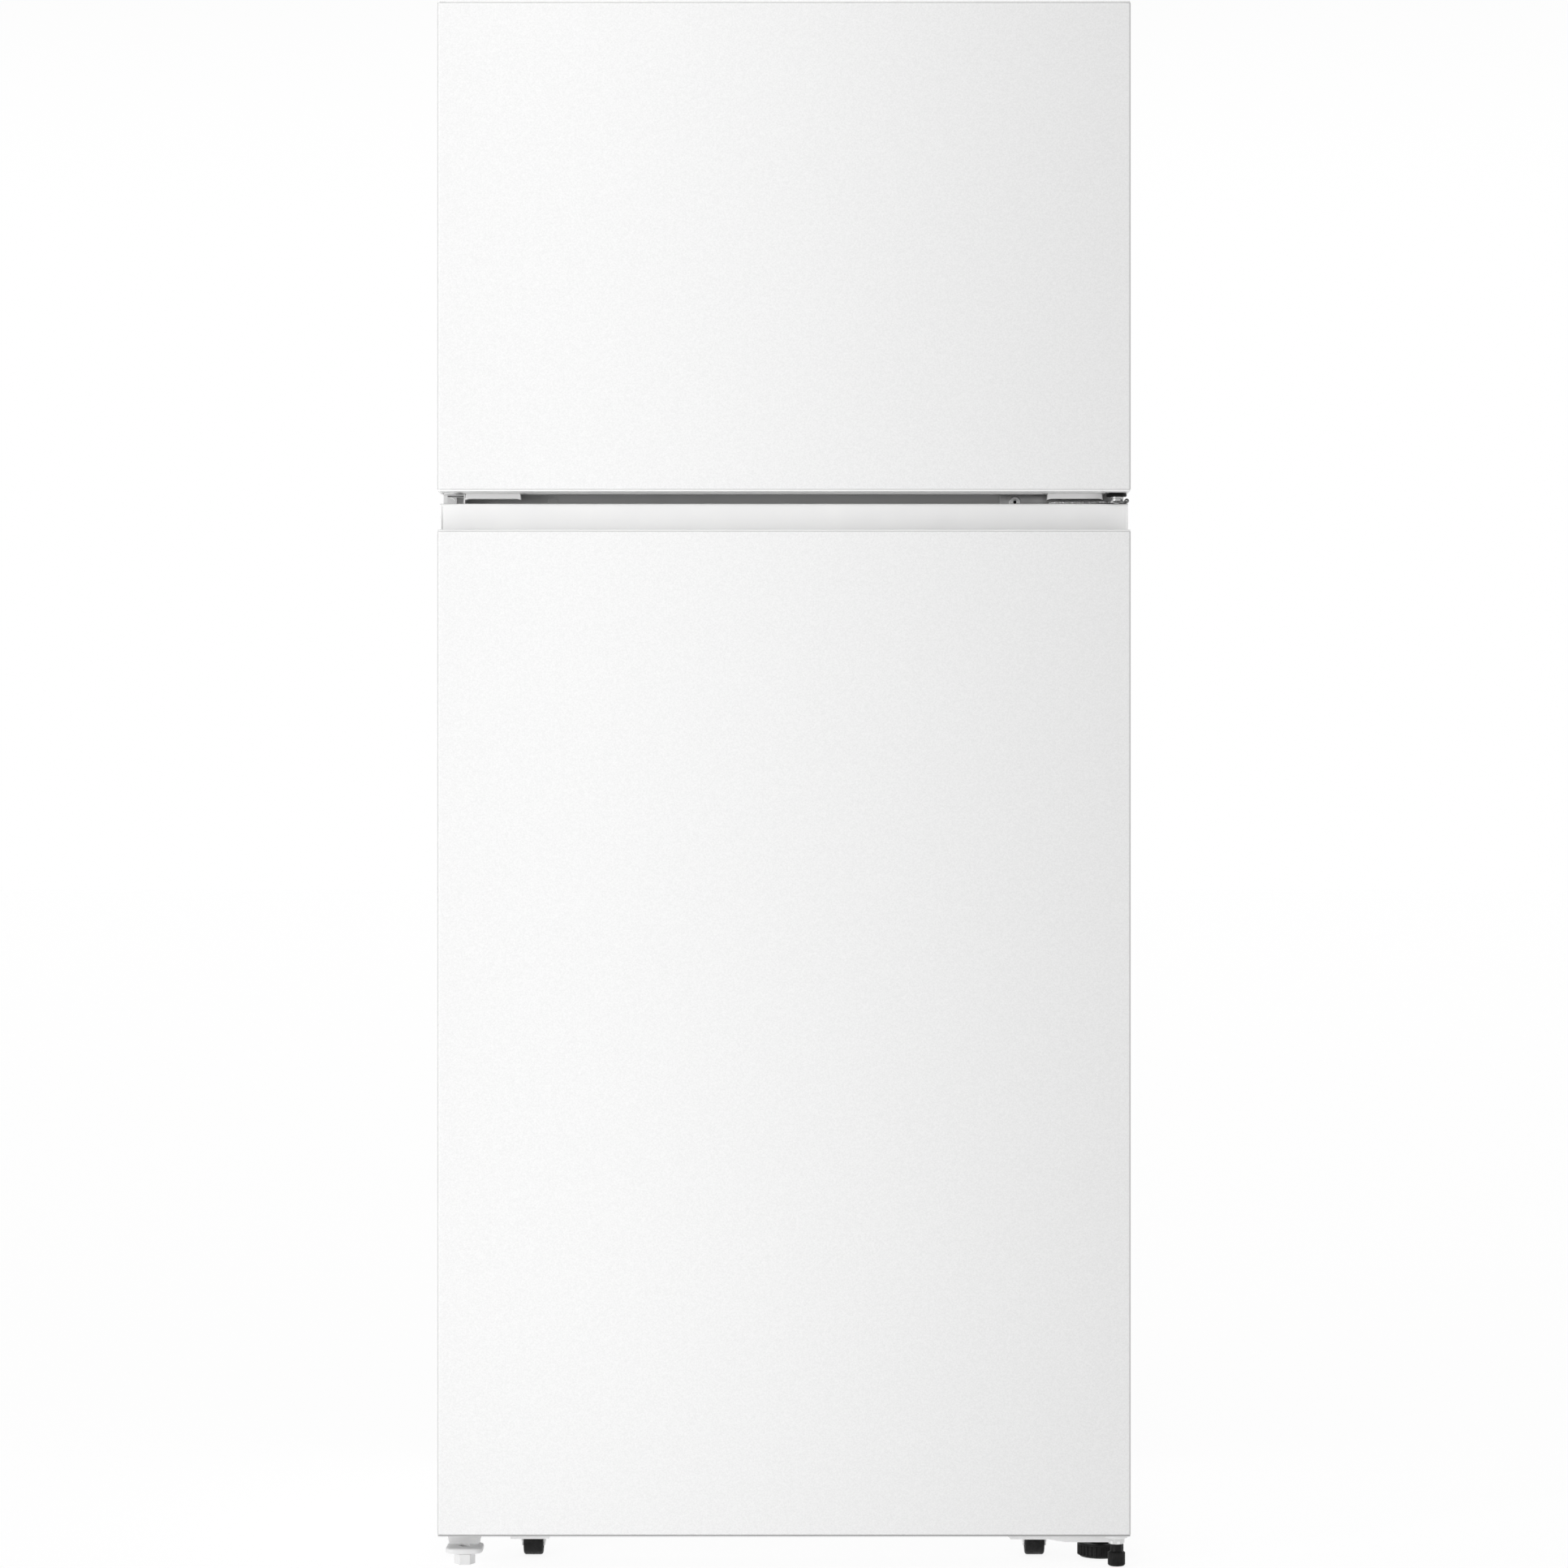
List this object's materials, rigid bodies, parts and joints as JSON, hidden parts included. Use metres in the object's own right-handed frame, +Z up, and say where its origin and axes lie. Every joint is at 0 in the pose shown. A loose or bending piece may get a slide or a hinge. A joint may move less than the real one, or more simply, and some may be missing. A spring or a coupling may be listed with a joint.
{
  "type": "top freezer refrigerator",
  "caption": "Tall white refrigerator with a freezer compartment above, textured flat doors hinged on the right, pocket handles, bins, shelves, crispers, rollers and leveling feet.",
  "frame": {"origin": "on the floor under the centre of the bounding box", "axes": "+Z up, -Y the front with the doors, +X the hinge side"},
  "size_m": [0.75, 0.768, 1.7073],
  "materials": {
    "textured_steel": "fine pebbled white paint",
    "white_steel": "satin white paint",
    "white_plastic": "satin",
    "liner_plastic": "smooth vacuum-formed",
    "clear_plastic": "clear",
    "shelf_glass": "clear glass in a white frame",
    "gasket_rubber": "matte",
    "foam": "rigid foam",
    "bare_steel": "zinc plated",
    "black_plastic": "moulded",
    "black_steel": "black enamel",
    "aluminium_fin": "mill"
  },
  "bodies": {
    "cabinet": {"outer_case": "white_steel", "back_panel": "bare_steel", "base_pan": "bare_steel", "cabinet_foam": "foam", "freezer_liner": "liner_plastic", "fridge_liner": "liner_plastic", "mullion_rail": "white_steel", "top_hinge": "bare_steel", "top_hinge_cover": "white_plastic", "middle_hinge": "bare_steel", "bottom_hinge": "bare_steel", "left_foot_bracket": "white_plastic", "front_roller_fork_left": "white_steel", "front_roller_fork_right": "white_steel", "freezer_shelf": "shelf_glass", "glass_shelf_upper": "shelf_glass", "glass_shelf_lower": "shelf_glass", "crisper_cover": "shelf_glass", "freezer_back_panel": "liner_plastic", "evaporator": "aluminium_fin", "evaporator_fan_motor": "black_steel", "fridge_air_duct": "liner_plastic", "control_housing": "liner_plastic", "compressor": "black_steel", "drain_pan": "black_plastic", "condenser_fan_frame": "black_plastic", "condenser_coil": "black_steel", "rear_access_cover": "bare_steel", "cord_gland": "black_plastic"},
    "freezer_door": {"freezer_door_skin": "textured_steel", "freezer_door_top_cap": "white_plastic", "freezer_door_bottom_cap": "white_plastic", "freezer_door_foam": "foam", "freezer_door_liner": "liner_plastic", "freezer_door_gasket": "gasket_rubber", "freezer_bin_lower": "clear_plastic", "freezer_bin_upper": "clear_plastic"},
    "fridge_door": {"fridge_door_skin": "textured_steel", "fridge_door_handle_cap": "white_plastic", "fridge_door_bottom_cap": "white_plastic", "fridge_door_foam": "foam", "fridge_door_liner": "liner_plastic", "fridge_door_gasket": "gasket_rubber", "fridge_bin_lower": "clear_plastic", "fridge_bin_middle": "clear_plastic", "fridge_bin_upper": "clear_plastic", "dairy_bin": "clear_plastic"},
    "dairy_flap": {"dairy_flap": "clear_plastic"},
    "crisper_left": {"crisper_left": "clear_plastic"},
    "crisper_right": {"crisper_right": "clear_plastic"},
    "temperature_knob": {"temperature_knob": "white_plastic"},
    "evaporator_fan": {"evaporator_fan_blade": "white_plastic"},
    "condenser_fan": {"condenser_fan_blade": "black_plastic"},
    "front_roller_left": {"front_roller_left": "black_plastic"},
    "front_roller_right": {"front_roller_right": "black_plastic"},
    "rear_roller_left": {"rear_roller_left": "black_plastic"},
    "rear_roller_right": {"rear_roller_right": "black_plastic"},
    "left_leveling_foot": {"left_leveling_foot": "white_plastic"},
    "hinge_side_foot": {"hinge_side_foot": "black_plastic"},
    "right_leveling_wheel": {"right_leveling_wheel": "black_plastic"}
  },
  "joints": [
    {"name": "freezer_door_hinge", "type": "hinge", "parent": "cabinet", "child": "freezer_door", "pos_m": [0.3625, -0.344, 1.43], "axis": [0, 0, 1], "range_deg": [0, 120]},
    {"name": "fridge_door_hinge", "type": "hinge", "parent": "cabinet", "child": "fridge_door", "pos_m": [0.3625, -0.344, 0.6], "axis": [0, 0, 1], "range_deg": [0, 120]},
    {"name": "dairy_flap_pivot", "type": "hinge", "parent": "fridge_door", "child": "dairy_flap", "pos_m": [0, -0.3137, 1.005], "axis": [1, 0, 0], "range_deg": [0, 85]},
    {"name": "crisper_left_slide", "type": "slide", "parent": "cabinet", "child": "crisper_left", "axis": [0, -1, 0], "range_m": [0, 0.035]},
    {"name": "crisper_right_slide", "type": "slide", "parent": "cabinet", "child": "crisper_right", "axis": [0, -1, 0], "range_m": [0, 0.035]},
    {"name": "temperature_knob_turn", "type": "hinge", "parent": "cabinet", "child": "temperature_knob", "pos_m": [0.07, -0.07, 1.112], "axis": [0, 1, 0], "range_deg": [-135, 135]},
    {"name": "evaporator_fan_spin", "type": "hinge", "parent": "cabinet", "child": "evaporator_fan", "pos_m": [0, 0.262, 1.54], "axis": [0, 1, 0], "continuous": true},
    {"name": "condenser_fan_spin", "type": "hinge", "parent": "cabinet", "child": "condenser_fan", "pos_m": [-0.022, 0.266, 0.152], "axis": [1, 0, 0], "continuous": true},
    {"name": "front_roller_left_spin", "type": "hinge", "parent": "cabinet", "child": "front_roller_left", "pos_m": [-0.2766, -0.276, 0.0173], "axis": [1, 0, 0], "continuous": true},
    {"name": "front_roller_right_spin", "type": "hinge", "parent": "cabinet", "child": "front_roller_right", "pos_m": [0.2766, -0.276, 0.0173], "axis": [1, 0, 0], "continuous": true},
    {"name": "rear_roller_left_spin", "type": "hinge", "parent": "cabinet", "child": "rear_roller_left", "pos_m": [-0.33, 0.335, 0.017], "axis": [1, 0, 0], "continuous": true},
    {"name": "rear_roller_right_spin", "type": "hinge", "parent": "cabinet", "child": "rear_roller_right", "pos_m": [0.33, 0.335, 0.017], "axis": [1, 0, 0], "continuous": true},
    {"name": "left_leveling_foot_turn", "type": "hinge", "parent": "cabinet", "child": "left_leveling_foot", "pos_m": [-0.349, -0.332, 0.01], "axis": [0, 0, 1], "range_deg": [-1080, 2160]},
    {"name": "hinge_side_foot_turn", "type": "hinge", "parent": "cabinet", "child": "hinge_side_foot", "pos_m": [0.3625, -0.344, 0.01], "axis": [0, 0, 1], "range_deg": [-1080, 2160]},
    {"name": "right_leveling_wheel_turn", "type": "hinge", "parent": "cabinet", "child": "right_leveling_wheel", "pos_m": [0.3493, -0.284, 0.01], "axis": [0, 0, 1], "range_deg": [-1080, 2160]}
  ]
}
